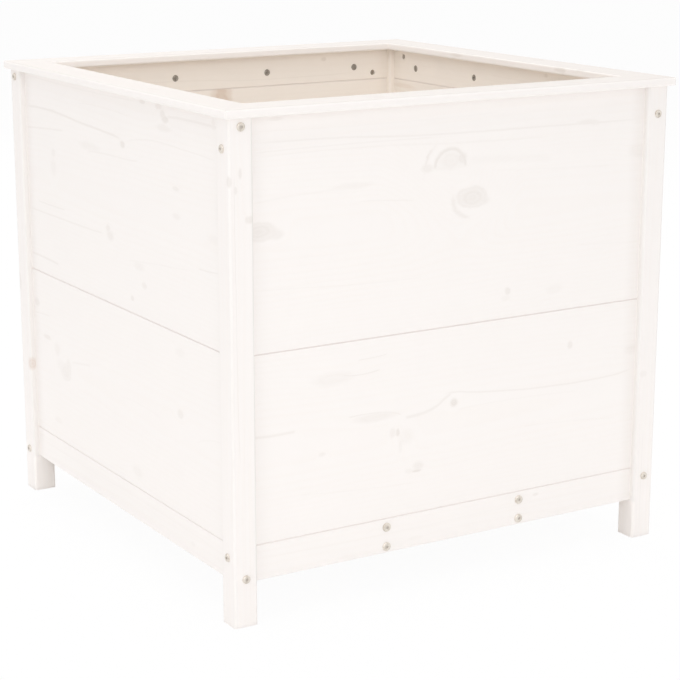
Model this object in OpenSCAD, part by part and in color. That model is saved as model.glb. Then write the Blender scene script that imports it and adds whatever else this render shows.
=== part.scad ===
// Square planter box in white-washed pine: four posts, boarded walls between them, a mitred
// rim and a slatted floor. Millimetres, +Z up, origin on the floor under the box's centre.
// -Y is the front. Walls and corners are numbered 0 front, 1 right, 2 back, 3 left. Each piece
// is drawn in the frame of its wall, whose -Y side faces outwards, and turned by quarter turns.

/* [Overall] */
// Outside width over the rim, along X
overall_w = 825; // [640:5:1200]
// Outside depth over the rim, along Y
overall_d = 825; // [640:5:1200]
// Height from the floor to the top of the rim
overall_h = 780; // [620:5:1000]
// Gap under the bottom rails, where the legs show
leg_h = 65.5; // [40:0.5:120]

/* [Posts] */
// Side of the square posts
post_w = 40; // [33:1:60]
// Rounding of the posts' upright edges
post_r = 5; // [1:0.5:8]

/* [Walls] */
// Thickness of the rails and wall boards
board_t = 20; // [16.5:0.5:26]
// Thickness of the tongues between boards
tongue_t = 6; // [4:0.5:8]
// Height of the tongues between boards
tongue_h = 6; // [3:0.5:8]
// Chamfer along the open joint lines
joint_ease = 1.2; // [0.4:0.1:2]
// Rounding of the bottom rails' lower edges
rail_r = 2.5; // [0.5:0.5:4]

/* [Rim] */
// Width of the rim boards
rim_w = 62; // [50:1:90]
// Thickness of the rim boards
rim_t = 13.5; // [10:0.5:25]
// Rounding of the rim boards' long edges
rim_r = 3.5; // [1:0.5:4.5]
// How far the rim stands out past the posts
rim_overhang = 9; // [2:1:20]

/* [Floor] */
// Distance between the two floor bearers
bearer_gap = 256; // [160:4:320]
// Thickness of the floor bearers
bearer_t = 28; // [20:1:40]
// Wood in the bearers above their upper bolts
bearer_cover = 10.5; // [8:0.5:20]
// Thickness of the floor slats
slat_t = 14; // [10:1:20]
// Drainage gap between floor slats
slat_gap = 8; // [4:1:14]
// Thickness of the cleats on the side walls
cleat_t = 20; // [15:1:30]
// Height of the cleats on the side walls
cleat_h = 28; // [20:1:40]
// Distance from a post to the end of a cleat
cleat_end_gap = 62; // [45:1:100]

/* [Bolts] */
// Shank diameter of the furniture bolts
bolt_d = 6; // [5:0.1:7.5]
// Head diameter of the bolts in the posts
bolt_head_d = 13; // [10.5:0.5:16]
// Head diameter of the bolts through the bottom rails into the floor bearers
bearer_head_d = 14.5; // [12:0.5:17.5]
// Spacing of the two bolt heights at each rail
bolt_pitch = 32; // [26:1:40]
// Drop from the top rail's upper edge to the upper bolt
bolt_drop = 12.5; // [10:0.5:16]
// Rise from the bottom rail's lower edge to the lower bolt
bolt_rise = 10.5; // [8.5:0.5:13]
// Distance from a rail's inner bolt to its board joint
bolt_cover = 12.5; // [10:0.5:20]
// Diameter of the barrel nuts that catch the bolts
nut_d = 10; // [8:0.5:12]
// Distance from a rail's end to its barrel nut
nut_in = 33; // [26:1:40]

/* [Other fasteners] */
// Diameter of the cam locks under the rim
cam_d = 12; // [10:0.5:14.5]
// Distance from the top rail's upper edge to the cam locks
cam_drop = 32; // [26:1:40]
// Distance from a post to the nearest cam lock
cam_in = 75.5; // [60:0.5:120]
// Diameter of the wooden dowels
dowel_d = 8; // [6:0.5:10]
// Depth of a dowel in the end of a board
dowel_in = 16; // [10:1:24]
// Distance from a board's edge to its dowels
dowel_edge = 57; // [30:1:80]
// Shank diameter of the wood screws
screw_d = 4; // [3:0.1:5]
// Depth of the slat screws in the bearers
screw_bite = 21; // [15:1:30]
// Wood left outside the tips of the cleat screws
screw_cover = 5; // [3:0.5:8]
// Distance from a cleat's end to its first screw
cleat_screw_in = 60; // [30:1:100]

/* [Hidden] */
$fn = 48;
SIDES = ["front", "right", "back", "left"];
CORNERS = ["front_left", "front_right", "back_right", "back_left"];
slat_n = 8;

// clearances between pieces that fit each other
bolt_clear = 0.3;       // round a bolt, on the radius
nut_clear = 0.1;        // round a barrel nut
cam_clear = 0.2;        // round a cam lock, and under it
cam_dowel_clear = 0.4;  // round a cam dowel
dowel_clear = 0.1;      // round a wooden dowel
dowel_end_clear = 0.5;  // past the end of a wooden dowel
screw_clear = 0.1;      // round a screw
thread_clear = 0.1;     // where a thread holds
tongue_clear = 0.2;     // each side of a tongue
tongue_end_clear = 0.5; // past the end of a tongue
mitre_clear = 0.1;      // each side of a mitre
slat_end_gap = 1;       // between a slat's end and the wall
tip_clear = 2;          // past the tip of a bolt or screw
lap = 1;                // how far a cut runs past the face it opens

// heights; the rails are as high as their bolts need
rail_h = bolt_drop + bolt_pitch + bolt_cover;
rim_z = overall_h - rim_t;
board_h = (rim_z - leg_h - 2 * rail_h) / 2;
lower_z = leg_h + rail_h;
upper_z = lower_z + board_h;
top_rail_z = upper_z + board_h;
bearer_h = bolt_rise + bolt_pitch + bearer_cover;
floor_z = leg_h + bearer_h;
cleat_mid_z = floor_z - cleat_h / 2;

// the walls' middle planes run through the posts' axes; along(k) and out(k) are the distances
// from the centre to those axes along wall k and across it
rim_edge = rim_overhang + post_w / 2;
post_x = overall_w / 2 - rim_edge;
post_y = overall_d / 2 - rim_edge;
function along(k) = k % 2 == 0 ? post_x : post_y;
function out(k) = k % 2 == 0 ? post_y : post_x;
function half_run(k) = along(k) - post_w / 2;

// bolt heights: a wall's left end takes the inner pair and its right end the outer pair, so
// that the bolts from the two sides of a post pass over each other
outer_z = [leg_h + bolt_rise, rim_z - bolt_drop];
inner_z = [outer_z[0] + bolt_pitch, outer_z[1] - bolt_pitch];

// fasteners
bolt_head_h = 2.6;
bolt_head_edge = 0.8;
bolt_head_bevel = 1.6;
bolt_key = 4;
bolt_key_depth = 1.6;
bolt_past = 7;
nut_l = 14;
nut_slot_w = 1.4;
nut_slot_depth = 1.2;
cam_n = 4;
cam_sink = 0.4;
cam_past = 3;
cam_l = board_t / 2 + cam_past - cam_sink; // reaches past the cam dowel's axis
cam_key_w = 1.6;
cam_key_l = 7;
cam_key_depth = 2;
cam_dowel_d = 6;
cam_neck_d = 4;
cam_neck_l = 8;
cam_head_h = 3;
cam_thread_d = 6;
rim_cover = 3.5;
cam_thread_l = rim_t - rim_cover; // stops under the rim's top
dowel_web = 2;
dowel_reach = post_w / 2 - dowel_d / 2 - dowel_web; // stops short of the crossing dowel
screw_head_d = 2 * screw_d;
screw_head_h = (screw_head_d - screw_d) / 2;
screw_slot_w = 1;
screw_slot_depth = 1.2;
screw_tip_l = 6;
screw_tip_d = 0.8;
slat_screw_l = slat_t + screw_bite;
cleat_screw_l = cleat_t + board_t - screw_cover;
cleat_screw_n = 4;

// heights of the dowels in every wall end: one between a rail's bolts, two in each board
dowel_z = [
    outer_z[0] + bolt_pitch / 2,
    lower_z + dowel_edge,
    upper_z - dowel_edge,
    upper_z + dowel_edge,
    top_rail_z - dowel_edge,
    outer_z[1] - bolt_pitch / 2
];

// the slats fill the depth between the posts, with a gap on both sides of each
slat_w = (2 * half_run(1) - (slat_n + 1) * slat_gap) / slat_n;
slat_l = 2 * (post_x - board_t / 2 - slat_end_gap);
slat_r = 2;
function slat_y(i) = (i - (slat_n + 1) / 2) * (slat_w + slat_gap);

// n places from -half to half
function spread(n, half) = [for (i = [0:n - 1]) half * (2 * i / (n - 1) - 1)];

// the faces that a chamfered joint line shows on: -1 outside, 1 inside
both_faces = [-1, 1];
inner_face = [1];

pine = [0.96, 0.93, 0.90];
beech = [0.86, 0.74, 0.58];
steel = [0.72, 0.69, 0.64];
zinc = [0.42, 0.39, 0.35];

// ---------- places ----------

module wall(k) { rotate(90 * k) translate([0, -out(k), 0]) children(); }

module corner(k) { rotate(90 * k) translate([-along(k), -out(k), 0]) children(); }

// the ends of wall k, each turned so that +X leads into the board
module left_end(k) { translate([-half_run(k), 0, 0]) children(); }

module right_end(k) { translate([half_run(k), 0, 0]) mirror([1, 0, 0]) children(); }

module both_ends(k) {
    left_end(k) children();
    right_end(k) children();
}

// both ends of a bearer, side -1 left or 1 right, with +X into it and +Y towards the centre
module bearer_ends(side) {
    for (k = [0, 2]) {
        local = (1 - k) * side;
        wall(k) translate([local * bearer_gap / 2, board_t / 2, 0])
            rotate(90) mirror([0, local < 0 ? 1 : 0, 0]) children();
    }
}

// on the inner face of a top rail, +Z into the wood and +Y up
module cam_places(k) {
    for (x = spread(cam_n, half_run(k) - cam_in))
        translate([x, board_t / 2, rim_z - cam_drop]) rotate([90, 0, 0]) children();
}

// under the rim, where the cam dowels stand on a wall's middle plane
module cam_dowel_places(k) {
    for (x = spread(cam_n, half_run(k) - cam_in)) translate([x, 0, rim_z]) children();
}

// on the inner face of a cleat, +Z outwards through it
module cleat_screw_places(k) {
    for (x = spread(cleat_screw_n, half_run(k) - cleat_end_gap - cleat_screw_in))
        translate([x, board_t / 2 + cleat_t, cleat_mid_z]) rotate([90, 0, 0]) children();
}

// on top of slat i over both bearers, +Z down
module slat_screw_places(i) {
    for (side = [-1, 1])
        translate([side * bearer_gap / 2, slat_y(i), floor_z + slat_t])
            rotate([180, 0, 0]) children();
}

// ---------- sections ----------

module rounded_rect(w, h, r) {
    square([w - 2 * r, h], center = true);
    square([w, h - 2 * r], center = true);
    for (x = [-1, 1], y = [-1, 1]) translate([x * (w / 2 - r), y * (h / 2 - r)]) circle(r);
}

module round_off(r) {
    difference() {
        translate([-lap, -lap]) square(r + lap);
        translate([r, r]) circle(r);
    }
}

// plain section: X runs across the wall from outside to inside, and Y is up
module plain_section(h) { translate([-board_t / 2, 0]) square([board_t, h]); }

module tongue(y) {
    translate([-tongue_t / 2, y - tongue_h]) square([tongue_t, 2 * tongue_h]);
}

module groove(y) {
    depth = tongue_h + tongue_end_clear;
    translate([-tongue_t / 2 - tongue_clear, y - depth])
        square([tongue_t + 2 * tongue_clear, 2 * depth]);
}

module ease(y, faces = both_faces) {
    for (side = faces) translate([side * board_t / 2, y])
        rotate(45) square(joint_ease * sqrt(2), center = true);
}

// the children's section, run along wall k between its posts
module run(k, z) {
    translate([-half_run(k), 0, z]) rotate([90, 0, 90]) linear_extrude(2 * half_run(k)) children();
}

// ---------- holes ----------

// bolt hole in a wooden end, with the cross hole that its barrel nut enters from +Y
module bolt_socket(z, nut_face) {
    translate([-lap, 0, z]) rotate([0, 90, 0])
        cylinder(r = bolt_d / 2 + bolt_clear, h = lap + nut_in + bolt_past + tip_clear);
    translate([nut_in, nut_face + lap, z]) rotate([90, 0, 0])
        cylinder(r = nut_d / 2 + nut_clear, h = nut_face + lap + nut_l / 2 + nut_clear);
}

// bolt hole straight through a piece of thickness t, along Y
module bolt_pass(t) {
    rotate([90, 0, 0]) cylinder(r = bolt_d / 2 + bolt_clear, h = t + 2 * lap, center = true);
}

// dowel hole along +X, depth past the mouth at x = 0
module dowel_hole(depth) {
    translate([-lap, 0, 0]) rotate([0, 90, 0])
        cylinder(r = dowel_d / 2 + dowel_clear, h = lap + depth + dowel_end_clear);
}

module dowel_holes(k, heights) {
    for (z = heights) both_ends(k) translate([0, 0, z]) dowel_hole(dowel_in);
}

module rail_end_holes(k, level) {
    left_end(k) bolt_socket(inner_z[level], board_t / 2);
    right_end(k) bolt_socket(outer_z[level], board_t / 2);
}

// countersunk screw hole along +Z
module screw_hole(length) {
    translate([0, 0, -lap]) cylinder(r = screw_head_d / 2 + screw_clear, h = lap);
    cylinder(r1 = screw_head_d / 2 + screw_clear, r2 = screw_d / 2 + screw_clear, h = screw_head_h);
    cylinder(r = screw_d / 2 + screw_clear, h = length + tip_clear);
}

// ---------- wooden pieces ----------

module post() {
    color(pine) difference() {
        linear_extrude(rim_z) rounded_rect(post_w, post_w, post_r);
        for (z = outer_z) translate([0, 0, z]) bolt_pass(post_w);
        for (z = inner_z) translate([0, 0, z]) rotate(90) bolt_pass(post_w);
        for (z = dowel_z, turn = [0, 90])
            rotate(turn) translate([post_w / 2, 0, z]) mirror([1, 0, 0]) dowel_hole(dowel_reach);
    }
}

module bottom_rail(k) {
    color(pine) difference() {
        run(k, leg_h) difference() {
            union() {
                plain_section(rail_h);
                tongue(rail_h);
            }
            ease(rail_h);
            for (side = [0, 1]) mirror([side, 0]) translate([-board_t / 2, 0]) round_off(rail_r);
        }
        rail_end_holes(k, 0);
        dowel_holes(k, [dowel_z[0]]);
        if (k % 2 == 0)
            for (x = [-1, 1], z = [outer_z[0], inner_z[0]])
                translate([x * bearer_gap / 2, 0, z]) bolt_pass(board_t);
        else
            cleat_screw_places(k) screw_hole(cleat_screw_l);
    }
}

module lower_board(k) {
    color(pine) difference() {
        run(k, lower_z) difference() {
            union() {
                plain_section(board_h);
                tongue(board_h);
            }
            groove(0);
            ease(0);
            ease(board_h);
        }
        dowel_holes(k, [dowel_z[1], dowel_z[2]]);
    }
}

// the upper board meets the top rail closely outside, with a chamfer on the inside only
module upper_board(k) {
    color(pine) difference() {
        run(k, upper_z) difference() {
            plain_section(board_h);
            groove(0);
            groove(board_h);
            ease(0);
            ease(board_h, inner_face);
        }
        dowel_holes(k, [dowel_z[3], dowel_z[4]]);
    }
}

module top_rail(k) {
    color(pine) difference() {
        run(k, top_rail_z) difference() {
            union() {
                plain_section(rail_h);
                tongue(0);
            }
            ease(0, inner_face);
        }
        rail_end_holes(k, 1);
        dowel_holes(k, [dowel_z[5]]);
        cam_places(k) translate([0, 0, -lap])
            cylinder(r = cam_d / 2 + cam_clear, h = lap + cam_sink + cam_l + cam_clear);
        cam_dowel_places(k) translate([0, 0, -cam_drop - cam_head_h])
            cylinder(r = cam_dowel_d / 2 + cam_dowel_clear, h = cam_drop + cam_head_h + lap);
    }
}

module rim_board(k) {
    reach_x = along(k) + rim_edge;
    reach_y = out(k) + rim_edge;
    color(pine) difference() {
        intersection() {
            translate([-reach_x, rim_w / 2 - rim_edge, rim_z + rim_t / 2]) rotate([90, 0, 90])
                linear_extrude(2 * reach_x) rounded_rect(rim_w, rim_t, rim_r);
            translate([0, out(k), rim_z - lap]) linear_extrude(rim_t + 2 * lap)
                rounded_rect(2 * reach_x, 2 * reach_y, rim_r);
            translate([0, -rim_edge, rim_z - lap]) linear_extrude(rim_t + 2 * lap) polygon([
                [mitre_clear - reach_x, 0], [reach_x - mitre_clear, 0],
                [reach_x - mitre_clear - rim_w, rim_w], [mitre_clear - reach_x + rim_w, rim_w]
            ]);
        }
        cam_dowel_places(k) translate([0, 0, -lap])
            cylinder(r = cam_thread_d / 2 + thread_clear, h = lap + cam_thread_l + thread_clear);
    }
}

module floor_bearer(side) {
    length = 2 * (post_y - board_t / 2);
    color(pine) difference() {
        translate([side * bearer_gap / 2 - bearer_t / 2, -length / 2, leg_h])
            cube([bearer_t, length, bearer_h]);
        bearer_ends(side) {
            bolt_socket(outer_z[0], bearer_t / 2);
            bolt_socket(inner_z[0], bearer_t / 2);
        }
        for (i = [1:slat_n]) slat_screw_places(i) screw_hole(slat_screw_l);
    }
}

module floor_cleat(k) {
    length = 2 * (half_run(k) - cleat_end_gap);
    color(pine) difference() {
        translate([-length / 2, board_t / 2, floor_z - cleat_h]) cube([length, cleat_t, cleat_h]);
        cleat_screw_places(k) screw_hole(cleat_screw_l);
    }
}

module floor_slat(i) {
    color(pine) difference() {
        translate([-slat_l / 2, slat_y(i), floor_z + slat_t / 2]) rotate([90, 0, 90])
            linear_extrude(slat_l) rounded_rect(slat_w, slat_t, slat_r);
        slat_screw_places(i) screw_hole(slat_screw_l);
    }
}

// ---------- fasteners ----------

// bolt along +X, its bevelled head below x = 0 with a hexagon socket
module bolt(length, head_d = bolt_head_d) {
    rotate([0, 90, 0]) difference() {
        union() {
            rotate_extrude() polygon([
                [0, 0], [head_d / 2, 0], [head_d / 2, -bolt_head_edge],
                [head_d / 2 - bolt_head_bevel, -bolt_head_h], [0, -bolt_head_h]
            ]);
            cylinder(d = bolt_d, h = length);
        }
        translate([0, 0, -bolt_head_h - lap])
            cylinder(d = bolt_key / cos(30), h = lap + bolt_key_depth, $fn = 6);
    }
}

// barrel nut along Y, its slotted end at +Y and its thread along X
module barrel_nut() {
    rotate([-90, 0, 0]) difference() {
        cylinder(d = nut_d, h = nut_l, center = true);
        rotate([0, 90, 0])
            cylinder(r = bolt_d / 2 + thread_clear, h = nut_d + 2 * lap, center = true);
        translate([-nut_d / 2 - lap, -nut_slot_w / 2, nut_l / 2 - nut_slot_depth])
            cube([nut_d + 2 * lap, nut_slot_w, nut_slot_depth + lap]);
    }
}

// cam lock along +Z, open towards +Y where its dowel enters
module cam_lock() {
    difference() {
        translate([0, 0, cam_sink]) cylinder(d = cam_d, h = cam_l);
        translate([0, -cam_head_h, board_t / 2]) rotate([-90, 0, 0])
            cylinder(r = cam_dowel_d / 2 + cam_dowel_clear, h = cam_d);
        for (turn = [0, 90]) rotate(turn)
            translate([-cam_key_l / 2, -cam_key_w / 2, cam_sink - lap])
                cube([cam_key_l, cam_key_w, cam_key_depth + lap]);
    }
}

// cam dowel: its thread stands up into the rim, and its necked head hangs in the cam lock
module cam_dowel() {
    head_z = cam_head_h / 2 - cam_drop;
    neck_z = head_z + cam_neck_l;
    cylinder(d = cam_thread_d, h = cam_thread_l);
    translate([0, 0, neck_z]) cylinder(d = cam_dowel_d, h = -neck_z);
    translate([0, 0, head_z]) cylinder(d = cam_neck_d, h = cam_neck_l);
    translate([0, 0, head_z - cam_head_h]) cylinder(d = cam_dowel_d, h = cam_head_h);
}

// countersunk wood screw along +Z with a crossed slot
module wood_screw(length) {
    difference() {
        union() {
            cylinder(d1 = screw_head_d, d2 = screw_d, h = screw_head_h);
            cylinder(d = screw_d, h = length - screw_tip_l);
            translate([0, 0, length - screw_tip_l])
                cylinder(d1 = screw_d, d2 = screw_tip_d, h = screw_tip_l);
        }
        for (turn = [0, 90]) rotate(turn)
            translate([-screw_d / 2, -screw_slot_w / 2, -lap])
                cube([screw_d, screw_slot_w, screw_slot_depth + lap]);
    }
}

module post_bolts() {
    color(steel) for (k = [0:3], level = [0, 1]) wall(k) {
        left_end(k) translate([-post_w, 0, inner_z[level]]) bolt(post_w + nut_in + bolt_past);
        right_end(k) translate([-post_w, 0, outer_z[level]]) bolt(post_w + nut_in + bolt_past);
    }
}

module bearer_bolts() {
    color(steel) for (side = [-1, 1], z = [outer_z[0], inner_z[0]])
        bearer_ends(side) translate([-board_t, 0, z])
            bolt(board_t + nut_in + bolt_past, bearer_head_d);
}

module barrel_nuts() {
    color(steel) {
        for (k = [0:3], level = [0, 1]) wall(k) {
            left_end(k) translate([nut_in, 0, inner_z[level]]) barrel_nut();
            right_end(k) translate([nut_in, 0, outer_z[level]]) barrel_nut();
        }
        for (side = [-1, 1], z = [outer_z[0], inner_z[0]])
            bearer_ends(side) translate([nut_in, 0, z]) barrel_nut();
    }
}

module cam_locks() { color(zinc) for (k = [0:3]) wall(k) cam_places(k) cam_lock(); }

module cam_dowels() { color(steel) for (k = [0:3]) wall(k) cam_dowel_places(k) cam_dowel(); }

module board_dowels() {
    color(beech) for (k = [0:3], z = dowel_z) wall(k) both_ends(k)
        translate([-dowel_reach, 0, z]) rotate([0, 90, 0])
            cylinder(d = dowel_d, h = dowel_reach + dowel_in);
}

module cleat_screws() {
    color(steel) for (k = [1, 3]) wall(k) cleat_screw_places(k) wood_screw(cleat_screw_l);
}

module slat_screws() {
    color(steel) for (i = [1:slat_n]) slat_screw_places(i) wood_screw(slat_screw_l);
}

// ---------- nodes ----------

for (k = [0:3]) {
    corner(k) post();
    wall(k) bottom_rail(k);
    wall(k) lower_board(k);
    wall(k) upper_board(k);
    wall(k) top_rail(k);
    wall(k) rim_board(k);
}
floor_bearer(-1);  // floor_bearer_left
floor_bearer(1);  // floor_bearer_right
wall(3) floor_cleat(3);  // floor_cleat_left
wall(1) floor_cleat(1);  // floor_cleat_right
for (i = [1:slat_n]) floor_slat(i);
post_bolts();
bearer_bolts();
barrel_nuts();
cam_locks();
cam_dowels();
board_dowels();
cleat_screws();
slat_screws();
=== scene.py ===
import math

import bpy
import numpy as np
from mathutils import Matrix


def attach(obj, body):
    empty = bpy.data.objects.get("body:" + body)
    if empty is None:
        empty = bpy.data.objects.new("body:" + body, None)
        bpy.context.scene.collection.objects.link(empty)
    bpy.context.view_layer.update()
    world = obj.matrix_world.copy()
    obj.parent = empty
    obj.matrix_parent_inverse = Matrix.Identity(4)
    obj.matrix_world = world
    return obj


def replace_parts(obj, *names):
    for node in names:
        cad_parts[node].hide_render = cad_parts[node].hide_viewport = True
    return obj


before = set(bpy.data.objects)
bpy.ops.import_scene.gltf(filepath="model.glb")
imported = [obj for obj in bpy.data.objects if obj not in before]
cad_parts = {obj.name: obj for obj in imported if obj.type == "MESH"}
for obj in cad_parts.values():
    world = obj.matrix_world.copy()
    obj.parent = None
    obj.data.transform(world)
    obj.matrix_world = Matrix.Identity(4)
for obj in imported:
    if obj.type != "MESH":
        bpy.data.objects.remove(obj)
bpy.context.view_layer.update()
print("frame loaded:", len(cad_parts), "nodes")

camera = {
    "place": (-1.6542, -2.7475, 1.1091),
    "turn": 31.472,  # degrees from +Y towards +X
    "tilt": 14.008,  # degrees below the horizon
    "lens": 100.394,
}


def makeCamera():
    data = bpy.data.cameras.new("photoCamera")
    data.lens = camera["lens"]
    data.sensor_width = 36
    data.clip_start, data.clip_end = 0.05, 60
    made = bpy.data.objects.new("photoCamera", data)
    made.location = camera["place"]
    made.rotation_euler = (math.radians(90 - camera["tilt"]), 0, -math.radians(camera["turn"]))
    bpy.context.scene.collection.objects.link(made)
    bpy.context.scene.camera = made


makeCamera()
print("camera set")


# a socket, so that shader maths reads as arithmetic
class Wire:
    def __init__(self, tree, socket):
        self.tree, self.socket = tree, socket

    def __add__(self, other):
        return self.tree.maths("ADD", self, other)

    def __radd__(self, other):
        return self.tree.maths("ADD", other, self)

    def __sub__(self, other):
        return self.tree.maths("SUBTRACT", self, other)

    def __rsub__(self, other):
        return self.tree.maths("SUBTRACT", other, self)

    def __mul__(self, other):
        return self.tree.maths("MULTIPLY", self, other)

    def __rmul__(self, other):
        return self.tree.maths("MULTIPLY", other, self)

    def __abs__(self):
        return self.tree.maths("ABSOLUTE", self)


class Finish:
    def __init__(self, name, owner=None):
        if owner is None:
            owner = bpy.data.materials.new(name)
        owner.use_nodes = True
        self.owner = owner
        self.nodes, self.links = owner.node_tree.nodes, owner.node_tree.links
        self.nodes.clear()

    # any node: its settings go on first, then the values or links of its sockets
    def node(self, kind, settings=None, inputs=None, output=0):
        made = self.nodes.new("ShaderNode" + kind)
        for key, value in (settings or {}).items():
            if key == "bends":
                line = made.mapping.curves[0]
                line.points[0].location, line.points[-1].location = value[0], value[-1]
                for bend in value[1:-1]:
                    line.points.new(*bend)
                made.mapping.update()
            else:
                setattr(made, key, value)
        for key, value in (inputs or {}).items():
            if isinstance(value, Wire):
                self.links.new(value.socket, made.inputs[key])
            else:
                made.inputs[key].default_value = value
        if len(made.outputs):
            return Wire(self, made.outputs[output])

    def maths(self, operation, a, b=None):
        values = {i: v for i, v in enumerate((a, b)) if v is not None}
        return self.node("Math", {"operation": operation}, values)

    # 0 below low, 1 above high, smooth between; low may be the larger
    def step(self, value, low, high, bottom=0.0, top=1.0):
        return self.node("MapRange", {"interpolation_type": "SMOOTHSTEP"},
                         {0: value, 1: low, 2: high, 3: bottom, 4: top})

    def vector(self, x, y, z):
        return self.node("CombineXYZ", None, {0: x, 1: y, 2: z})

    # noise on a vector, about -1 to 1
    def noise(self, vector, detail, rough):
        made = self.node("TexNoise", {"noise_dimensions": "3D"},
                         {"Vector": vector, "Scale": 1.0, "Detail": detail, "Roughness": rough})
        return made * 2.0 - 1.0

    def blend(self, factor, a, b):
        return self.node("Mix", {"data_type": "RGBA", "clamp_factor": True}, {0: factor, 6: a, 7: b}, 2)

    # lift is the bump's full height in metres
    def finish(self, colour, roughness, height, lift, metallic, specular):
        bump = self.node("Bump", None, {"Strength": 1.0, "Distance": lift, "Height": height})
        inputs = {"Base Color": colour, "Roughness": roughness, "Metallic": metallic,
                  "Specular IOR Level": specular, "Normal": bump}
        self.node("OutputMaterial", None, {0: self.node("BsdfPrincipled", None, inputs)})
        return self.owner


def rgb(r, g, b):
    return (r, g, b, 1.0)


pine = {
    "wash": rgb(0.966, 0.929, 0.906),  # the wash over clear wood
    "washPost": rgb(0.958, 0.921, 0.899),
    "rimTopShade": rgb(0.755, 0.716, 0.687),  # painted shade: the rim's top darker, to offset the light from above
    "insideBounce": rgb(0.985, 0.926, 0.862),  # painted bounce light: a warmer tone inside the box
    "wood": rgb(0.80, 0.60, 0.42),  # bare pine
    "mark": rgb(0.42, 0.34, 0.26),  # knots and dark grain under the wash, and the painted shade where a wall meets its posts
    "brown": rgb(0.52, 0.30, 0.16),  # a knot that the wash missed
    "groove": rgb(0.70, 0.62, 0.60),  # bare edges in the joint lines
    "postShade": rgb(0.38, 0.42, 0.41),  # painted shade in the corners beside the posts, and on their outermost edges
    "ringGap": 7.5,  # mm between growth rings
    "ringTone": 0.016,
    "fibreTone": 0.010,
    "patchTone": 0.012,
    "rough": 0.62,
    "gloss": 0.35,
    "lift": 0.00025,  # m, from the groove of a grain line to the ridge of a ring
}

# the wood's own unevenness: cycles per mm along the grain, across the face and into the piece,
# then the noise's detail and roughness
woodNoises = {
    "slow": ((0.0035, 0.012, 0.012), 2.0, 0.5),  # bends the rings
    "wobble": ((0.05, 0.08, 0.05), 2.0, 0.5),  # bends lines and the outlines of knots
    "rag": ((0.16, 0.3, 0.16), 2.0, 0.6),  # frays them
    "fibre": ((0.022, 1.1, 1.1), 3.0, 0.65),
    "patch": ((0.006, 0.02, 0.02), 3.0, 0.6),
    "brush": ((0.012, 0.35, 0.35), 2.0, 0.5),
}

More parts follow.
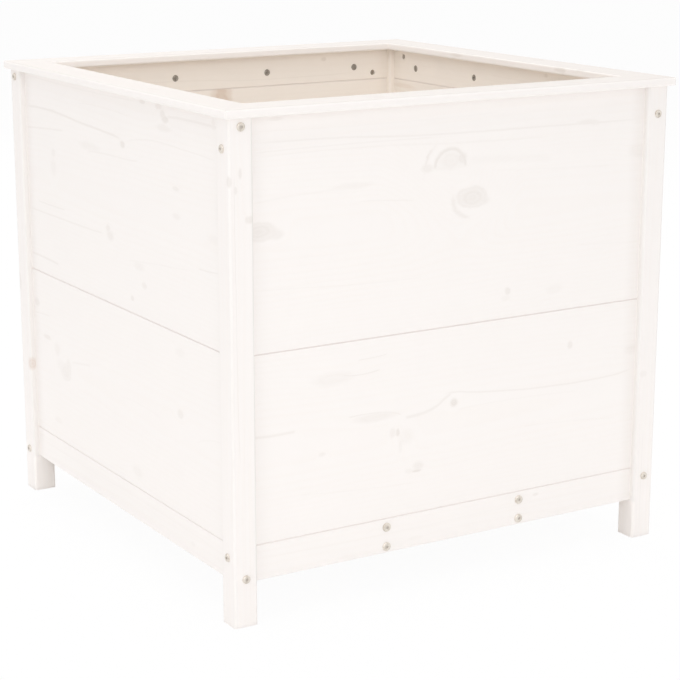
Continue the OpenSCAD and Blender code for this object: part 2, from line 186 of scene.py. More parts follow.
# marks on a piece, in mm. Places run along the grain and across it, on a wall from its middle and
# from the floor, and a third number is a depth:
# ("knot", place, half sizes, fill, outline), ("arc", the same, the side that shows and how far
# out it starts), and ("line", [(along, across), ...], half width, tone)
marks = {
    "upper_board_front": [
        ("arc", (-16, 666), (29, 29), 0.0, 0.15, (0.0, 1.0, -0.15)),
        ("arc", (-14, 655), (52, 60), 0.0, 0.15, (-1.0, 0.55, 0.90)),
        ("knot", (-59, 667), (12, 8), 0.08, 0.0),
        ("knot", (-14, 676), (24, 16), 0.07, 0.0),
        ("knot", (5, 678), (10, 10), 0.12, 0.0),
        ("knot", (-20, 667), (42, 6), 0.035, 0.0),
        ("knot", (26, 616), (29, 17), 0.12, 0.05),
        ("knot", (44, 610), (15, 9), 0.09, 0.0),
        ("knot", (36, 621), (5, 4), 0.15, 0.0),
        ("arc", (26, 611), (38, 27), 0.0, 0.10, (-0.85, -0.52, 0.50)),
        ("line", [(14, 675), (80, 671), (180, 665)], 9.0, 0.022),
        ("knot", (-350, 598), (30, 14), 0.12, 0.04),
        ("knot", (-322, 592), (14, 8), 0.08, 0.0),
        ("knot", (97, 460), (6, 7), 0.12, 0.0),
        ("knot", (93, 449), (9, 5), 0.04, 0.0),
        ("knot", (-190, 652), (40, 6), 0.045, 0.0),
        ("knot", (190, 452), (18, 9), 0.035, 0.0),
        ("knot", (355, 664), (24, 12), 0.05, 0.0),
        ("line", [(-182, 628), (-130, 625), (-80, 620)], 1.6, 0.05),
        ("line", [(-363, 706), (-220, 709), (0, 702), (180, 699)], 2.4, 0.035),
        ("line", [(-363, 512), (-280, 508), (-170, 502), (-60, 500)], 1.6, 0.03),
        ("line", [(60, 655), (170, 649), (300, 644)], 2.0, 0.025),
        ("line", [(230, 521), (300, 516), (363, 513)], 1.8, 0.022),
        ("line", [(-363, 640), (-300, 646), (-230, 649), (-150, 656)], 2.4, 0.03),
    ],
    "top_rail_front": [
        ("line", [(-363, 727), (-240, 726), (-60, 718), (120, 716), (363, 714)], 2.4, 0.07),
        ("line", [(-363, 713), (-200, 715), (-40, 713)], 1.8, 0.05),
        ("knot", (247, 717), (24, 4), 0.08, 0.0),
        ("knot", (264, 714), (12, 4), 0.05, 0.0),
        ("knot", (-322, 760), (14, 3), 0.08, 0.0),
        ("line", [(-363, 745), (-150, 741), (80, 744)], 1.5, 0.02),
    ],
    "lower_board_front": [
        ("knot", (-3, 292), (8, 8), 0.19, 0.0),
        ("line", [(-30, 309), (-6, 309), (25, 305), (75, 299), (200, 291), (300, 291), (363, 306)],
         2.2, 0.085),
        ("line", [(-96, 281), (-60, 284), (-38, 290), (-22, 300), (-6, 309)], 4.0, 0.09),
        ("line", [(-6, 279), (80, 281), (190, 278), (250, 274)], 1.6, 0.03),
        ("knot", (-150, 290), (42, 8), 0.07, 0.0),
        ("line", [(-200, 297), (-150, 297), (-100, 286)], 1.8, 0.09),
        ("line", [(-363, 291), (-330, 289), (-290, 290)], 3.2, 0.085),
        ("knot", (-226, 362), (38, 12), 0.05, 0.0),
        ("line", [(-210, 369), (-190, 362), (-165, 362), (-140, 365)], 1.6, 0.10),
        ("line", [(-182, 385), (-155, 385), (-128, 388)], 1.3, 0.08),
        ("knot", (-118, 260), (6, 9), 0.08, 0.0),
        ("knot", (-108, 259), (4, 7), 0.17, 0.0),
        ("knot", (-94, 250), (15, 14), 0.04, 0.0),
        ("knot", (-103, 237), (4, 12), 0.06, 0.0),
        ("knot", (-70, 199), (12, 8), 0.09, 0.0),
        ("knot", (-73, 191), (10, 2.4), 0.18, 0.0),
        ("knot", (-87, 193), (9, 5), 0.06, 0.0),
        ("knot", (-245, 246), (7, 4), 0.08, 0.0),
        ("knot", (225, 355), (6, 7), 0.11, 0.0),
        ("knot", (356, 331), (18, 9), 0.06, 0.0),
        ("line", [(-290, 189), (-200, 180), (-70, 172)], 1.4, 0.03),
        ("line", [(130, 232), (230, 226), (330, 216)], 1.6, 0.03),
    ],
    "bottom_rail_front": [
        ("knot", (163, 111), (7, 3), 0.11, 0.0),
        ("knot", (-74, 80), (16, 4), 0.03, 0.0),
        ("line", [(-363, 101), (-100, 97), (120, 99), (363, 94)], 1.8, 0.02),
    ],
    "top_rail_left": [
        ("knot", (107, 760), (12, 4), 0.12, 0.0),
        ("knot", (163, 758), (12, 5), 0.12, 0.0),
        ("knot", (176, 748), (10, 9), 0.10, 0.0),
        ("knot", (184, 741), (12, 6), 0.15, 0.0),
        ("knot", (178, 727), (26, 6), 0.06, 0.0),
        ("line", [(186, 744), (250, 748), (363, 747)], 3.2, 0.075),
        ("knot", (340, 751), (6, 9), 0.07, 0.0),
        ("line", [(-363, 711), (-300, 708), (-230, 711)], 2.6, 0.05),
        ("line", [(-363, 760), (-120, 756), (90, 758)], 1.8, 0.035),
        ("line", [(-140, 731), (-60, 735), (60, 731)], 1.6, 0.03),
    ],
    "upper_board_left": [
        ("line", [(-363, 705), (-290, 708), (-225, 707), (-150, 702), (-60, 698), (10, 694), (32, 688)],
         3.0, 0.11),
        ("knot", (31, 685), (9, 6), 0.15, 0.0),
        ("line", [(-363, 667), (-300, 673), (-200, 679)], 2.4, 0.07),
        ("knot", (-248, 636), (8, 8), 0.07, 0.0),
        ("knot", (-250, 612), (13, 15), 0.05, 0.0),
        ("knot", (-95, 666), (46, 8), 0.05, 0.0),
        ("line", [(-110, 656), (-40, 661), (60, 663), (90, 666)], 2.2, 0.05),
        ("line", [(-363, 525), (-250, 526), (-120, 527), (-45, 529)], 2.4, 0.07),
        ("knot", (-33, 540), (9, 7), 0.10, 0.0),
        ("knot", (-25, 529), (15, 9), 0.09, 0.0),
        ("line", [(-325, 543), (-270, 543), (-205, 544)], 2.2, 0.07),
        ("knot", (80, 497), (20, 8), 0.05, 0.0),
        ("knot", (98, 469), (10, 6), 0.09, 0.0),
        ("knot", (53, 440), (7, 5), 0.12, 0.0),
        ("knot", (215, 640), (12, 4), 0.09, 0.0),
        ("knot", (215, 598), (14, 5), 0.06, 0.0),
        ("line", [(285, 530), (315, 531), (350, 534)], 2.0, 0.07),
        ("line", [(-363, 445), (-300, 445), (-240, 443)], 3.2, 0.09),
        ("line", [(40, 500), (150, 512), (260, 522)], 1.8, 0.03),
        ("line", [(45, 692), (100, 700), (150, 704), (250, 702), (350, 699)], 1.8, 0.05),
        ("knot", (335, 582), (20, 8), 0.035, 0.0),
    ],
    "lower_board_left": [
        ("knot", (-228, 254), (22, 15), 0.08, 0.03),
        ("knot", (-214, 266), (11, 15), 0.07, 0.0),
        ("knot", (-246, 262), (20, 12), 0.04, 0.0),
        ("knot", (-262, 288), (13, 14), 0.05, 0.0),
        ("line", [(-200, 278), (-160, 284), (-120, 290)], 3.0, 0.05),
        ("knot", (-346, 357), (12, 8), 0.10, 0.0),
        ("knot", (-306, 301), (16, 5), 0.10, 0.0),
        ("knot", (216, 288), (11, 8), 0.09, 0.0),
        ("knot", (55, 150), (20, 11), 0.04, 0.0),
        ("knot", (218, 387), (20, 8), 0.035, 0.0),
        ("line", [(-363, 335), (-320, 340), (-290, 341)], 2.0, 0.05),
        ("line", [(0, 263), (60, 268), (150, 264)], 1.8, 0.025),
        ("line", [(270, 256), (320, 272), (363, 276)], 1.8, 0.03),
        ("knot", (-268, 157), (16, 6), 0.045, 0.0),
    ],
    "bottom_rail_left": [
        ("line", [(-363, 103), (-150, 100), (60, 104), (363, 99)], 1.8, 0.025),
        ("knot", (250, 86), (9, 4), 0.05, 0.0),
    ],
    "upper_board_back": [
        ("knot", (214, 560), (17, 12), 0.11, 0.05),
        ("knot", (-262, 505), (12, 8), 0.12, 0.04),
        ("line", [(-363, 640), (-120, 652), (90, 643), (363, 650)], 2.2, 0.06),
        ("line", [(-30, 540), (120, 548), (214, 576), (300, 556), (363, 552)], 2.0, 0.05),
        ("line", [(-363, 470), (-100, 462), (180, 471)], 1.8, 0.04),
    ],
    "top_rail_back": [
        ("knot", (-220, 753), (6, 4), 0.16, 0.0),
        ("line", [(-300, 728), (-100, 722), (120, 729), (330, 724)], 1.8, 0.05),
    ],
    "post_front_left": [
        ("knot", (677, -402, -401), (9, 4, 5), 0.14, 0.0),
        ("knot", (688, -385, -404), (9, 3, 4), 0.13, 0.0),
        ("knot", (664, -393, -404), (6, 3, 4), 0.11, 0.0),
        ("knot", (620, -370, -404), (6, 9, 6), 0.12, 0.0),
        ("line", [(250, -384), (262, -391), (330, -393), (480, -394), (600, -395), (700, -395)], 1.0, 0.09),
        ("line", [(8, -383), (140, -384), (330, -383)], 1.0, 0.03),
        ("line", [(8, -376), (120, -377), (300, -378)], 1.0, 0.03),
    ],
    "post_front_right": [
        ("knot", (288, 374, -404), (7, 9, 6), 0.06, 0.0),
        ("line", [(6, 378), (90, 378), (190, 379)], 1.3, 0.06),
        ("line", [(6, 371), (80, 372), (210, 371)], 1.2, 0.05),
        ("line", [(6, 391), (160, 392), (420, 392)], 1.0, 0.035),
    ],
    "post_back_left": [
        ("knot", (386, -403, 400), (20, 8, 9), 0.13, 0.0),
        ("line", [(6, -396), (300, -395), (700, -396)], 1.1, 0.03),
    ],
    "rim_board_front": [
        ("knot", (-142, -10), (10, 9), 0.07, 0.02),
        ("knot", (28, -11), (8, 6), 0.05, 0.0),
        ("knot", (228, -6), (12, 10), 0.06, 0.02),
        ("line", [(-320, 4), (-100, 9), (140, 7), (330, 12)], 1.8, 0.03),
    ],
    "rim_board_left": [
        ("knot", (124, 0), (12, 7), 0.06, 0.02),
        ("line", [(-330, -8), (-90, -4), (120, 10), (320, 6)], 1.8, 0.03),
    ],
    "rim_board_right": [
        ("knot", (-76, -8), (12, 9), 0.08, 0.03),
        ("knot", (150, -14), (9, 6), 0.06, 0.0),
        ("knot", (120, 31, 2), (22, 9, 4), 0.14, 0.0),
        ("knot", (-186, 31, 2), (18, 10, 5), 0.16, 0.0),
        ("knot", (-240, 31, 5), (12, 6, 3), 0.10, 0.0),
        ("line", [(-330, 6), (-80, 11), (160, 2), (340, 5)], 1.8, 0.03),
    ],
}

brownKnots = {
    "upper_board_back": ("knot", (2, 668, 10), (25, 70, 14), 0.34, 0.0),
    "upper_board_right": ("knot", (330, 698, 10), (40, 5, 8), 0.12, 0.0),
    "post_back_left": ("knot", (240, -400, 365), (13, 10, 10), 0.22, 0.0),
}

# the wall's own directions for walls 0 front, 1 right, 2 back, 3 left: the axis and sign that
# run along it seen from outside, and those that run into it
sides = ("front", "right", "back", "left")
wallAxes = ((0, 1, 1, 1), (1, 1, 0, -1), (0, -1, 1, -1), (1, -1, 0, 1))
wallPlane = 383.5  # mm from the planter's middle to a wall's middle, and to a post's axis
wallInside, wallOutside = 373.5, 393.5
wallFoot = 65.5  # the legs show below it
boardEnd = 363.5  # half a board's length, up to the posts


# a few knots and lines for a piece whose face the photograph doesn't show
def scatterMarks(seed, low, high, half=boardEnd):
    pick = np.random.default_rng(seed)
    wide = high - low > 100
    made = []
    for _ in range(int(pick.integers(3, 6)) if wide else 2):
        a, z = pick.uniform(-half + 20, half - 20), pick.uniform(low + 8, high - 8)
        size = pick.uniform(6, 24) if wide else pick.uniform(4, 9)
        tall, fill = size * pick.uniform(0.45, 0.75), pick.uniform(0.06, 0.13)
        made.append(("knot", (a, z), (size, tall), fill, pick.uniform(0.01, 0.06)))
        if pick.random() < 0.6:
            run, over = pick.uniform(60, 160), tall + 5
            made.append(("line", [(a - run, z + pick.uniform(-4, 4)), (a - 24, z + over * 0.8), (a, z + over),
                                  (a + 26, z + over * 0.8), (a + run, z + pick.uniform(-4, 4))],
                         1.8, pick.uniform(0.03, 0.07)))
    for _ in range(3):
        a, z = pick.uniform(-half, half - 220), pick.uniform(low + 6, high - 6)
        made.append(("line", [(a, z), (a + 90, z + pick.uniform(-4, 4)), (a + 210, z + pick.uniform(-6, 6))],
                     1.8, pick.uniform(0.025, 0.05)))
    return made


# the stain that a grain line leaves: its distance across the grain from a curve drawn through
# the line's points, fading at both ends
def lineStain(tree, points, width, tone, u, v, wobble):
    first, last = float(points[0][0]), float(points[-1][0])
    low, high = min(p[1] for p in points) - 1.0, max(p[1] for p in points) + 1.0
    t = tree.node("MapRange", {"clamp": True}, {0: u, 1: first, 2: last, 3: 0.0, 4: 1.0})
    bends = [((p[0] - first) / (last - first), (p[1] - low) / (high - low)) for p in points]
    curve = tree.node("FloatCurve", {"bends": bends}, {0: 1.0, 1: t}) * (high - low) + low
    off = abs(v - curve - wobble * 0.9)
    return tree.step(off, width, width * 0.2, 0.0, tone) * tree.step(t * (1.0 - t), 0.0, 0.07)


# the stain of a knot, and its distance in knot sizes: 0 in the middle and about 1 at its ragged edge
def knotStain(tree, mark, spot, wobble, rag):
    kind, at, size, fill, outline = mark[:5]
    offsets = [(c - float(p)) * (1.0 / r) for c, p, r in zip(spot, at, size)]
    square = offsets[0] * offsets[0]
    for offset in offsets[1:]:
        square = offset * offset + square
    small = min(size[1:])
    ragged = 0.10 if kind == "arc" else 0.22
    reach = tree.maths("SQRT", square) + wobble * ragged + rag * min(ragged, 1.2 / small)
    stain = tree.step(reach, 1.22, 0.5, 0.0, fill)
    if small > 7:
        stain = stain * (tree.maths("SINE", reach * 15.0) * 0.14 + rag * 0.25 + 1.0)
    if outline:
        broad = 5.2 if kind == "arc" else 3.4
        band = tree.step(abs(reach - 0.95), broad / small, 0.3 / small, 0.0, outline)
        if kind == "arc":
            side = offsets[0] * mark[5][0] + offsets[1] * mark[5][1]
            band = band * tree.step(side, mark[5][2], mark[5][2] + 0.3)
        stain = band + stain
    return stain, reach


# wood in three dimensions: u runs along the grain, v across the face and w into the piece, all
# in mm. Growth rings are cylinders about a pith beside the piece, bent by slow noise and pushed
# aside by knots, so faces show long lines and ends show arcs. A thin wash covers them.
def pineFinish(name, axes, centre, pith, taper, seed, marked, coat="wash", joints=(), ends=None,
               other=None, postShading=None, brown=None, grain=1.0):
    tree = Finish(name)
    place = tree.node("TexCoord", None, None, 3)
    parts = [tree.node("SeparateXYZ", None, {0: place}, i) for i in range(3)]
    u, v, w = (parts[axis] * (sign * 1000.0) - middle for (axis, sign), middle in zip(axes, centre))
    drift = 137.0 * seed  # so that no two pieces are cut from the same wood
    slow, wobble, rag, fibre, patch, brush = (
        tree.noise(tree.vector(u * along + drift, v * across, w * inward), detail, rough)
        for (along, across, inward), detail, rough in woodNoises.values())

    stain, push = None, 0.0
    for mark in marked:
        if mark[0] == "line":
            shade = lineStain(tree, mark[1], mark[2], mark[3], u, v, wobble)
        else:
            shade, reach = knotStain(tree, mark, (u, v, w), wobble, rag)
            push = tree.step(reach, 2.8, 0.6, 0.0, min(mark[2][1:]) * 0.6) + push
        stain = shade if stain is None else tree.maths("MAXIMUM", stain, shade)

    across = v - pith[0] + slow * 9.0
    fromPith = tree.maths("SQRT", across * across + (w - pith[1]) * (w - pith[1]))
    rings = (fromPith + u * taper + push + wobble * 0.5) * (1.0 / pine["ringGap"]) + 60.0
    phase = tree.maths("FRACT", rings)
    late = tree.step(phase, 0.35, 0.92) * tree.step(phase, 1.0, 0.93)
    strong = (patch * 0.7 + 1.0) * (pine["ringTone"] * grain)

    colour = pine[coat]
    # a second tone by a mask: painted bounce light inside, or painted shade on the rim's top
    if other is not None:
        colour = tree.blend(other[1](tree, u, v, w), pine[coat], pine[other[0]])
    thin = late * strong + fibre * (pine["fibreTone"] * grain) + patch * pine["patchTone"]
    colour = tree.blend(thin + brush * 0.006 + 0.02, colour, pine["wood"])
    if stain is not None:
        colour = tree.blend(stain, colour, pine["mark"])
    # painted shade at the board's ends, where the wall meets its posts
    if ends is not None:
        left, right = ends
        start = boardEnd - 34.0
        endShade = tree.step(u, -start, -boardEnd, 0.0, left) + tree.step(u, start, boardEnd, 0.0, right)
        colour = tree.blend(endShade * (brush * 0.3 + 1.0), colour, pine["mark"])
    # painted shade beside the walls and on a post's outermost edge
    if postShading is not None:
        colour = tree.blend(postShading[0](tree, u, v, w) * postShading[1], colour, pine["postShade"])
    if brown is not None:
        shade, reach = knotStain(tree, brown, (u, v, w), wobble, rag)
        colour = tree.blend(shade, colour, pine["brown"])
    for joint, width, amount, inward in joints:
        gap = tree.step(abs(v - joint), width, width * 0.3, 0.0, amount)
        if inward:
            gap = gap * tree.step(w, 5.0, 8.0)
        colour = tree.blend(gap, colour, pine["groove"])
    height = late * 0.22 + fibre * 0.16 + brush * 0.10
    if stain is not None:
        height = height - stain * 1.2
    rough = patch * 0.03 + fibre * 0.02 + pine["rough"]
    return tree.finish(colour, rough, height, pine["lift"], 0.0, pine["gloss"])


# where the second tone lies: painted bounce light on the inside of a wall or a post, and painted shade on the
# top of the rim
def insideWall(tree, u, v, w):
    return tree.step(w, -2.0, 2.0)


def insidePost(tree, u, v, w):
    far, near = wallInside + 2.5, wallInside - 0.5
    return tree.step(abs(v), far, near) * tree.step(abs(w), far, near) * tree.step(u, 60.0, wallFoot + 0.5)


# painted shade on the sides of a post where it stands proud of the walls, and in part on its outermost edge
# to tone down the highlight there
def shadeBesideWall(tree, u, v, w):
    far, near = boardEnd + 5.5, boardEnd + 0.5
    low, high = wallOutside - 1.5, wallOutside + 1.0
    one = tree.step(abs(v), far, near) * tree.step(abs(w), low, high)
    two = tree.step(abs(w), far, near) * tree.step(abs(v), low, high)
    # the sum is 802 where the outermost edge starts to round, and 804 in its middle
    edgeShade = tree.step(abs(v) + abs(w), 801.0, 803.4)
    return tree.maths("MAXIMUM", one, two) * tree.step(u, 60.0, wallFoot + 2.5) + edgeShade * 0.37


# w is 7.0 on top
def rimTop(tree, u, v, w):
    return tree.step(w, 5.6, 6.8)


def dress(name, material):
    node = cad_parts[name]
    node.data.materials.clear()
    node.data.materials.append(material)


# each board's lower and upper edge, where its pith lies from its middle plane, and its joint
# lines: height, half width, tone, and whether the line is stained on the inside only
boards = {
    "bottom_rail": {"z": (wallFoot, 122.5), "pith": (40.0, -70.0),
                    "joints": [(122.5, 1.9, 0.30, False)]},
    "lower_board": {"z": (122.5, 416.0), "pith": (265.0, 55.0),
                    "joints": [(122.5, 1.9, 0.30, False), (416.0, 1.9, 0.42, False)]},
    "upper_board": {"z": (416.0, 709.5), "pith": (590.0, -58.0),
                    "joints": [(416.0, 1.9, 0.42, False), (709.5, 2.2, 0.40, True)]},
    "top_rail": {"z": (709.5, 766.5), "pith": (790.0, 60.0), "joints": [(709.5, 2.2, 0.40, True)]},
}
wallEndShade = ((0.02, 0.09), (0.06, 0.06), (0.06, 0.06), (0.10, 0.02))  # painted shade where a wall meets its posts, at its left and right ends
tapers = (0.010, -0.014, 0.012, -0.009)  # how fast each wall's rings run out along it

seed = 1
for k, side in enumerate(sides):
    runAxis, runSign, inAxis, inSign = wallAxes[k]
    for board, spec in boards.items():
        name = board + "_" + side
        marked = marks.get(name) or scatterMarks(seed, *spec["z"])
        axes, centre = ((runAxis, runSign), (2, 1), (inAxis, inSign)), (0.0, 0.0, -wallPlane)
        dress(name, pineFinish("pine_" + name, axes, centre, spec["pith"], tapers[k], seed, marked,
                               joints=spec["joints"], ends=wallEndShade[k],
                               other=("insideBounce", insideWall), brown=brownKnots.get(name)))
        seed += 1
print("walls finished")

corners = {"front_left": (-1, -1), "front_right": (1, -1), "back_right": (1, 1), "back_left": (-1, 1)}
postPith = (9.0, -26.0)  # from a post's axis
for corner, (sx, sy) in corners.items():
    name = "post_" + corner
    marked = marks.get(name)
    if marked is None:
        marked = [("knot", (530, sx * 404, sy * 380), (12, 9, 8), 0.12, 0.04),
                  ("knot", (180, sx * 378, sy * 404), (9, 7, 6), 0.11, 0.03),
                  ("line", [(6, sx * 392), (260, sx * 391), (690, sx * 393)], 1.1, 0.04)]
    pith = (sx * wallPlane + postPith[0], sy * wallPlane + postPith[1])
    dress(name, pineFinish("pine_" + name, ((2, 1), (0, 1), (1, 1)), (0.0, 0.0, 0.0), pith, 0.004, seed,
                           marked, coat="washPost", other=("insideBounce", insidePost),
                           postShading=(shadeBesideWall, 0.15), brown=brownKnots.get(name), grain=1.5))
    seed += 1
print("posts finished")

rim = {
    "middle": -381.5,  # mm, counted inwards
    "height": 773.0,
    "half": 320.0,  # of the part that marks may lie in
    "pith": (-30.0, 60.0),
}
for k, side in enumerate(sides):
    runAxis, runSign, inAxis, inSign = wallAxes[k]
    name = "rim_board_" + side
    marked = marks.get(name) or scatterMarks(seed, -26, 26, rim["half"])
    axes, centre = ((runAxis, runSign), (inAxis, inSign), (2, 1)), (0.0, rim["middle"], rim["height"])
    dress(name, pineFinish("pine_" + name, axes, centre, rim["pith"], 0.010, seed, marked,
                           other=("rimTopShade", rimTop), grain=1.3))
    seed += 1
print("rim finished")

floor = {
    "slatPitch": 89.875,  # mm
    "slatHeight": 125.5,
    "grain": 2.6,
    "supports": {  # the middle of each
        "floor_bearer_left": (0.0, 92.0, -128.0),
        "floor_bearer_right": (0.0, 92.0, 128.0),
        "floor_cleat_left": (0.0, 104.0, -363.0),
        "floor_cleat_right": (0.0, 104.0, 363.0),
    },
}
for i in range(1, 9):
    pick = np.random.default_rng(60 + i)
    name = "floor_slat_%d" % i
    marked = scatterMarks(60 + i, -36, 36)
    centre = (0.0, (i - 4.5) * floor["slatPitch"], floor["slatHeight"])
    pith = (float(pick.uniform(-30, 30)), -45.0)
    dress(name, pineFinish("pine_" + name, ((0, 1), (1, 1), (2, 1)), centre, pith, 0.012, seed, marked,
                           coat="insideBounce", grain=floor["grain"]))
    seed += 1
for name, centre in floor["supports"].items():
    marked = scatterMarks(seed, -14, 14)
    dress(name, pineFinish("pine_" + name, ((1, 1), (2, 1), (0, 1)), centre, (12.0, -40.0), 0.01, seed,
                           marked, coat="insideBounce", grain=floor["grain"]))
    seed += 1
print("floor finished")

metals = {
    "bolt": {"colour": rgb(0.80, 0.745, 0.675), "shade": rgb(0.60, 0.54, 0.47),
             "sunk": rgb(0.56, 0.51, 0.46), "rough": 0.36, "metallic": 0.7},
    "nut": {"colour": rgb(0.50, 0.45, 0.39), "shade": rgb(0.26, 0.22, 0.18), "rough": 0.36, "metallic": 0.7},
    "cam": {"colour": rgb(0.46, 0.42, 0.37), "shade": rgb(0.28, 0.25, 0.22), "rough": 0.5, "metallic": 0.5},
    "beech": {"colour": rgb(0.74, 0.56, 0.37), "shade": rgb(0.55, 0.38, 0.22), "rough": 0.6, "metallic": 0.0},
}


# plating: a fine speckle and a slow cloud between two tones, and painted shade in the socket where the mesh
# is marked for it
def metalFinish(name, spec):
    tree = Finish(name)
    place = tree.node("TexCoord", None, None, 3)
    speck = tree.node("TexNoise", None, {"Vector": place, "Scale": 900.0, "Detail": 3.0})
    cloud = tree.node("TexNoise", None, {"Vector": place, "Scale": 160.0, "Detail": 2.0})
    colour = tree.blend(tree.step(cloud * 0.6 + speck * 0.4, 0.42, 0.66), spec["colour"], spec["shade"])
    if "sunk" in spec:
        sunk = tree.node("Attribute", {"attribute_name": "sunk"}, None, 2)
        colour = tree.blend(sunk, colour, spec["sunk"])
    height = speck * 0.5 + cloud * 0.5
    return tree.finish(colour, cloud * 0.14 + spec["rough"], height, 0.00004, spec["metallic"], 0.5)


finishes = {kind: metalFinish(kind + "_finish", spec) for kind, spec in metals.items()}
for name in ("barrel_nuts", "cam_dowels", "cleat_screws", "slat_screws"):
    dress(name, finishes["nut"])
dress("cam_locks", finishes["cam"])
dress("board_dowels", finishes["beech"])

bolt = {
    "crown": 2.6,  # mm from the seat under the head
    "edge": 0.8,
    "shank": 3.0,
    "socket": 2.31,  # to the hexagon's corners
    "socketDepth": 1.0,
    "steps": 48,
    "postSeat": 403.5,  # the faces under the heads, from the planter's middle
    "railSeat": 393.5,
    "postHeights": {-1: (108.0, 722.0), 1: (76.0, 754.0)},  # at the start and the end of a wall
    "railHeights": (76.0, 108.0),
    "railPlaces": (-128.0, 128.0),  # along the front and back rails, on the bearers
    "postSize": (80.0, 6.5),  # length and head radius
    "railSize": (60.0, 7.25),
}


# a bolt along +X from its seat at 0, as rings carried round the axis. Each ring has a radius, a
# place along the axis and a share of hexagon: 0 is a circle and 1 a hexagon of that radius.
def boltSurface(length, r):
    crown, edge = bolt["crown"], bolt["edge"]
    arc = np.linspace(0, math.pi / 2, 7)
    dome = np.stack([r - 1.9 + 1.9 * np.cos(arc), -edge - (crown - edge) * np.sin(arc), 0 * arc], 1)
    s, depth = bolt["socket"], bolt["socketDepth"]
    shank = bolt["shank"]
    rows = np.vstack([
        [[shank - 0.7, length, 0], [shank, length - 0.7, 0], [shank, 0, 0], [r - 0.15, 0, 0], [r, -0.15, 0]],
        dome,
        [[s + 0.75, -crown, 0.4], [s + 0.3, -crown, 1], [s, -crown + 0.25, 1], [s, -crown + depth, 1]],
    ])
    angle = np.linspace(0, 2 * math.pi, bolt["steps"], endpoint=False)
    hexagon = math.cos(math.pi / 6) / np.cos(np.mod(angle, math.pi / 3) - math.pi / 6)
    radius = rows[:, 0:1] * (1 - rows[:, 2:3] + rows[:, 2:3] * hexagon[None, :])
    x = np.repeat(rows[:, 1:2], len(angle), 1)
    points = np.stack([x, radius * np.cos(angle), radius * np.sin(angle)], -1).reshape(-1, 3)
    count, last = len(angle), len(rows) - 1
    i, j = np.meshgrid(np.arange(last), np.arange(count), indexing="ij")
    a, b = i * count + j, i * count + (j + 1) % count
    quads = np.stack([a, a + count, b + count, b], -1).reshape(-1, 4)
    tip, bottom = len(points), len(points) + 1
    points = np.vstack([points, [[length, 0, 0], [-crown + depth, 0, 0]]])
    ring = np.arange(count)
    ends = np.vstack([
        np.stack([np.full(count, tip), ring, (ring + 1) % count], 1),
        np.stack([np.full(count, bottom), last * count + (ring + 1) % count, last * count + ring], 1),
    ])
    # painted shade: the socket's walls and bottom take a darker tone
    sunk = np.zeros(len(points))
    sunk[(last - 1) * count:tip] = 1
    sunk[bottom] = 1
    return points, quads, ends, sunk


# the bolts' seats and the directions in which they go in
def boltPlaces():
    post, rail = [], []
    for k in range(4):
        along = np.roll([1.0, 0, 0], k % 2) * (1, 1, -1, -1)[k]
        into = np.cross([0, 0, 1.0], along)
        for sign, heights in bolt["postHeights"].items():
            for z in heights:
                post.append((along * sign * bolt["postSeat"] - into * wallPlane + [0, 0, z], -sign * along))
        if k % 2 == 0:
            for x in bolt["railPlaces"]:
                for z in bolt["railHeights"]:
                    rail.append((along * x - into * bolt["railSeat"] + [0, 0, z], into))
    return post, rail


def makeBolts(name, places, size):
    points, quads, ends, sunk = boltSurface(*size)
    count, vertices, faces = len(points), [], []
    for n, (seat, inward) in enumerate(places):
        up = np.array([0, 0, 1.0])
        turnAngle = 0.7 * n + 0.3  # no two sockets sit alike
        side = np.cross(up, inward)
        first = math.cos(turnAngle) * side + math.sin(turnAngle) * up
        basis = np.stack([inward, first, np.cross(inward, first)])
        vertices.append(points @ basis + seat)
        faces += (quads + n * count).tolist() + (ends + n * count).tolist()
    mesh = bpy.data.meshes.new(name)
    mesh.from_pydata((np.vstack(vertices) / 1000).tolist(), [], faces)
    values = np.tile(sunk, len(places)).astype("float32")
    mesh.attributes.new("sunk", "FLOAT", "POINT").data.foreach_set("value", values)
    mesh.shade_smooth()
    mesh.set_sharp_from_angle(angle=math.radians(38))
    made = bpy.data.objects.new(name, mesh)
    bpy.context.scene.collection.objects.link(made)
    mesh.materials.append(finishes["bolt"])
    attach(made, "root")
    return made


postPlaces, railPlaces = boltPlaces()
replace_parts(makeBolts("postBolts", postPlaces, bolt["postSize"]), "post_bolts")
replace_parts(makeBolts("bearerBolts", railPlaces, bolt["railSize"]), "bearer_bolts")
print("bolts made")

studio = {
    "floorHalf": 14.0,
    "floorColour": rgb(0.97, 0.97, 0.97),
    "floorShow": 0.95,  # the share of the floor seen as plain white; the rest takes the shadow
    "sky": 0.62,
    "aimHeight": 0.4,
    "lamps": {
        "key": {"place": (-1.6, -4.6, 2.6), "size": 3.0, "power": 45.0},
        "top": {"place": (0.0, 0.01, 3.4), "size": 3.4, "power": 33.5},
        "left": {"place": (-4.4, -1.4, 1.4), "size": 3.0, "power": 11.8},
        "leftHigh": {"place": (-3.4, -1.2, 3.8), "size": 3.0, "power": 25.0},
        "right": {"place": (4.6, 0.6, 1.7), "size": 3.0, "power": 35.0},
        "back": {"place": (0.8, 4.6, 1.9), "size": 3.0, "power": 14.6},
        "backHigh": {"place": (0.8, 3.4, 4.0), "size": 3.0, "power": 31.0},
    },
    "panel": {"place": (0.0, 0.0, 0.003), "size": 2.2, "power": 1.5},
}


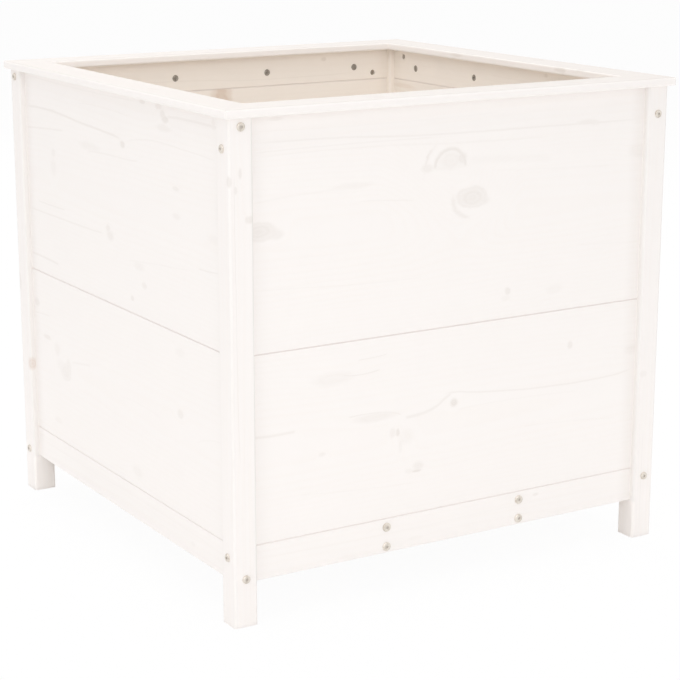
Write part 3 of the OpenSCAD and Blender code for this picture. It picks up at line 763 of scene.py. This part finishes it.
# 1 for the rays that see the background: straight, mirrored or through glass
def seen(tree):
    path = tree.node("LightPath")
    sockets = path.socket.node.outputs
    names = ("Is Camera Ray", "Is Glossy Ray", "Is Transmission Ray")
    eye, gloss, through = (Wire(tree, sockets[name]) for name in names)
    return tree.maths("MAXIMUM", tree.maths("MAXIMUM", eye, gloss), through)


def makeFloor():
    half = studio["floorHalf"]
    mesh = bpy.data.meshes.new("studioFloor")
    corners = [(-half, -half, 0), (half, -half, 0), (half, half, 0), (-half, half, 0)]
    mesh.from_pydata(corners, [], [(0, 1, 2, 3)])
    made = bpy.data.objects.new("studioFloor", mesh)
    bpy.context.scene.collection.objects.link(made)
    tree = Finish("studio_floor")
    lit = tree.node("BsdfDiffuse", None, {"Color": studio["floorColour"]})
    white = tree.node("Emission", None, {"Color": rgb(1, 1, 1), "Strength": 1.0})
    shader = tree.node("MixShader", None, {0: seen(tree) * studio["floorShow"], 1: lit, 2: white})
    tree.node("OutputMaterial", None, {0: shader})
    mesh.materials.append(tree.owner)


def makeSky():
    world = bpy.data.worlds.new("studioSky")
    bpy.context.scene.world = world
    tree = Finish("studio_sky", world)
    light = tree.node("Background", None, {"Color": rgb(1, 1, 1), "Strength": studio["sky"]})
    white = tree.node("Background", None, {"Color": rgb(1, 1, 1), "Strength": 1.0})
    shader = tree.node("MixShader", None, {0: seen(tree), 1: light, 2: white})
    tree.node("OutputWorld", None, {0: shader})


def makeLamp(name, spec, turn):
    data = bpy.data.lights.new(name, "AREA")
    data.shape, data.size, data.energy = "SQUARE", spec["size"], spec["power"]
    made = bpy.data.objects.new(name, data)
    made.location = spec["place"]
    made.rotation_euler = turn
    bpy.context.scene.collection.objects.link(made)
    return made


# lamps that look at the middle of the planter
def makeLamps():
    for name, spec in studio["lamps"].items():
        away = np.array(spec["place"]) - [0, 0, studio["aimHeight"]]
        tilt = math.atan2(math.hypot(away[0], away[1]), away[2])
        makeLamp(name, spec, (tilt, 0, math.atan2(away[1], away[0]) + math.pi / 2))


# a weak panel that lies on the floor and shines up, so that the legs' inner sides aren't dark
def makePanel():
    made = makeLamp("panel", studio["panel"], (math.pi, 0, 0))
    made.visible_camera = False
    made.visible_glossy = False


makeFloor()
makeSky()
makeLamps()
makePanel()
bpy.context.scene.view_settings.view_transform = "Standard"
print("studio lit")
